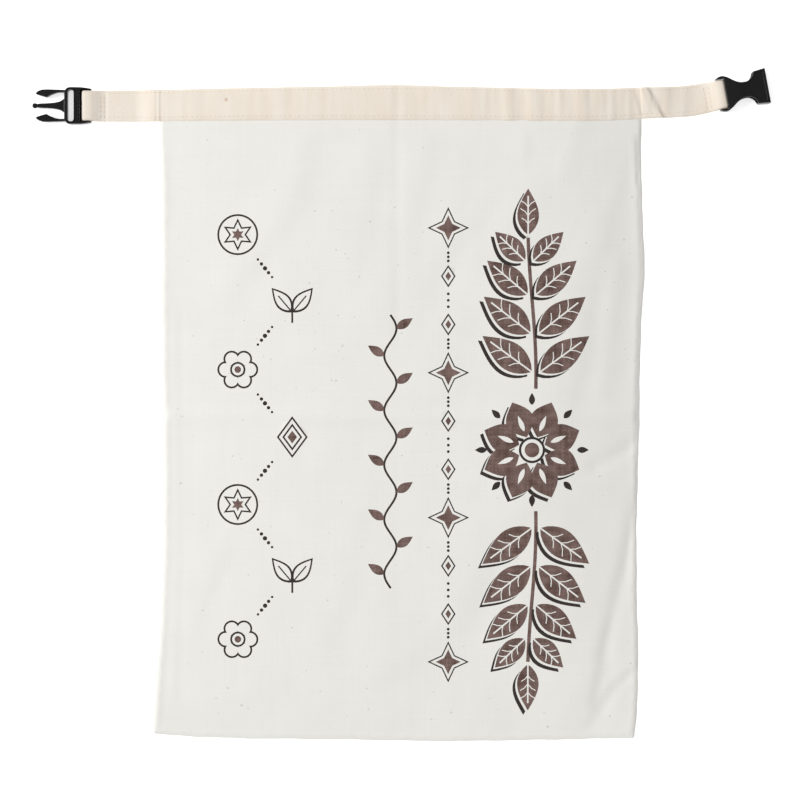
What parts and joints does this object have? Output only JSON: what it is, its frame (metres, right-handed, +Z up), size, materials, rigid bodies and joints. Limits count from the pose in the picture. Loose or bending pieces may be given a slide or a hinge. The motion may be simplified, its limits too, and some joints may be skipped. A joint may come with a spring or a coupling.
{
  "type": "linen bread bag",
  "caption": "Flat rectangular linen bag, open at the top, with a tape-bound mouth that runs out at both sides into the halves of a side-release buckle.",
  "frame": {"origin": "on the surface that the bag lies on, under the middle of its back", "axes": "+Y up the bag to its mouth, +X across it to the socket half of the buckle, +Z up off the surface through the front panel"},
  "size_m": [0.4601, 0.4196, 0.0098],
  "materials": {
    "linen": "plain-woven washed linen, matt",
    "cotton_tape": "cream twill-woven cotton tape, matt",
    "buckle_plastic": "black moulded acetal, satin gloss"
  },
  "bodies": {
    "root": {"panel_front": "linen", "panel_back": "linen", "tape_front": "cotton_tape", "tape_back": "cotton_tape", "buckle_plug": "buckle_plastic", "buckle_socket": "buckle_plastic"}
  },
  "joints": []
}
